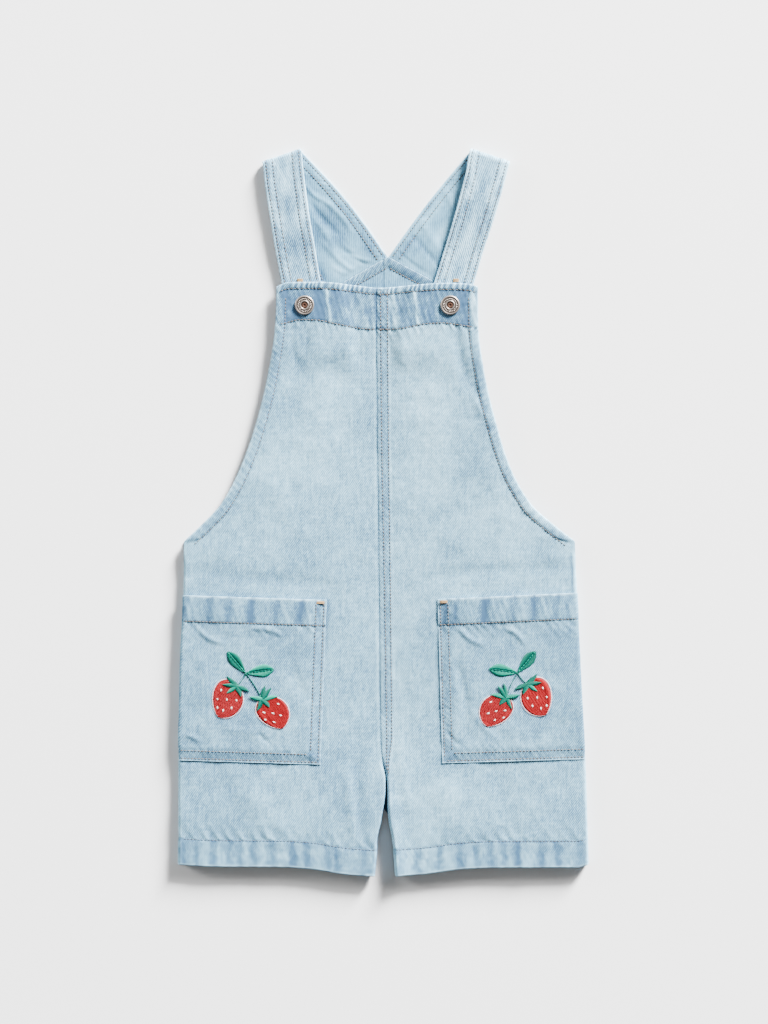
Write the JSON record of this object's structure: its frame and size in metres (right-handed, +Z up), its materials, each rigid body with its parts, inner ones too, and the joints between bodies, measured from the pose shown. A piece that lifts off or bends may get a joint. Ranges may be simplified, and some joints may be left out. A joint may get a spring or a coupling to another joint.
{
  "type": "denim shortalls",
  "caption": "Child's light-wash denim dungaree shorts laid flat, with buttoned straps, a square bib, patch pockets and hemmed legs.",
  "frame": {"origin": "on the table, under the middle of the laid-out garment's bounding box", "axes": "+X to the viewer's right, +Y from the leg hems to the shoulders, +Z up from the table, out of the garment's front"},
  "size_m": [0.3302, 0.583, 0.0097],
  "materials": {
    "front_denim": "matt washed denim twill",
    "back_denim": "matt washed denim twill",
    "strap_denim": "matt washed denim twill",
    "pocket_denim": "matt washed denim twill",
    "button_metal": "worn silvered tack button"
  },
  "bodies": {
    "root": {"front_left": "front_denim", "front_right": "front_denim", "back_left": "back_denim", "back_right": "back_denim", "strap_left": "strap_denim", "strap_right": "strap_denim", "pocket_left": "pocket_denim", "pocket_right": "pocket_denim", "button_left": "button_metal", "button_right": "button_metal"}
  },
  "joints": []
}
